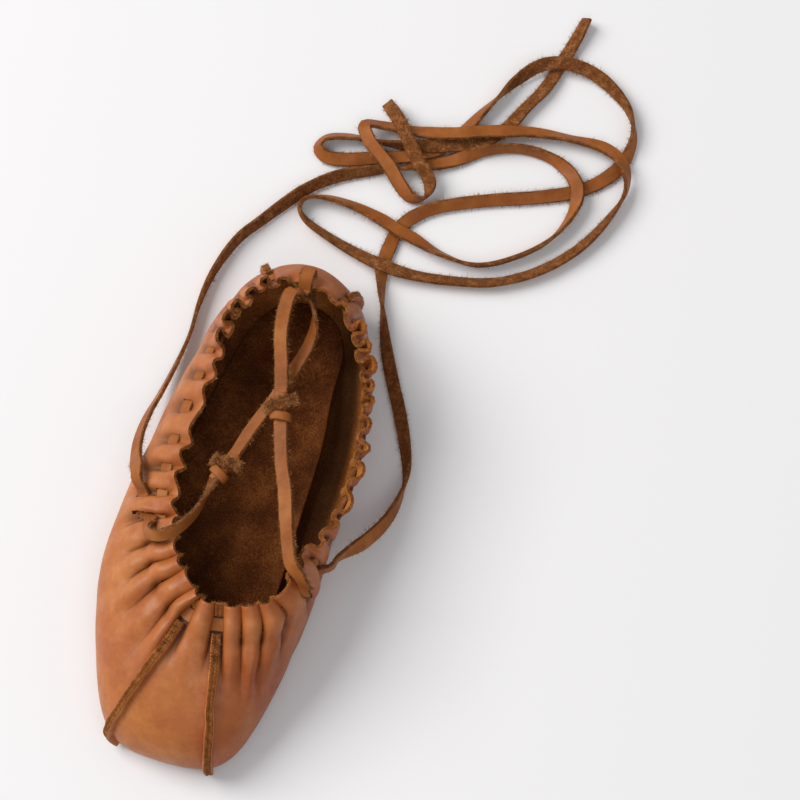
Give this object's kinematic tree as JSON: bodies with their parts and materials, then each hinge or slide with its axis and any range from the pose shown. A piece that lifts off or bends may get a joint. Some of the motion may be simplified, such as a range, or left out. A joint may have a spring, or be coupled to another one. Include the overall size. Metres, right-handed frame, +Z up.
{
  "type": "folk dance moccasin",
  "caption": "Right-foot folk dance moccasin of soft leather: hollow upper wrapped under as the sole, frilled collar gathered on a woven lace, raised toe seams, heel strap and long ties.",
  "frame": {"origin": "on the floor under the middle of the shoe's box, with the free straps left out", "axes": "+X towards the inner side of the foot, +Y towards the heel, toe at -Y, +Z up"},
  "size_m": [0.1954, 0.4319, 0.0577],
  "materials": {
    "tan_leather": "smooth full grain, soft sheen",
    "brown_suede": "brushed suede",
    "raw_edge": "raw cut edge",
    "strap_leather": "grain on one face, suede on the other"
  },
  "bodies": {
    "root": {"upper_and_sole": "tan_leather", "insole": "brown_suede", "drawstring": "strap_leather", "toe_seam_lateral": "raw_edge", "toe_seam_medial": "raw_edge", "heel_seam_lateral": "raw_edge", "heel_seam_medial": "raw_edge", "heel_strap": "strap_leather", "knot_lateral": "strap_leather", "knot_medial": "strap_leather", "tie_lateral": "strap_leather", "tie_medial": "strap_leather"}
  },
  "joints": []
}
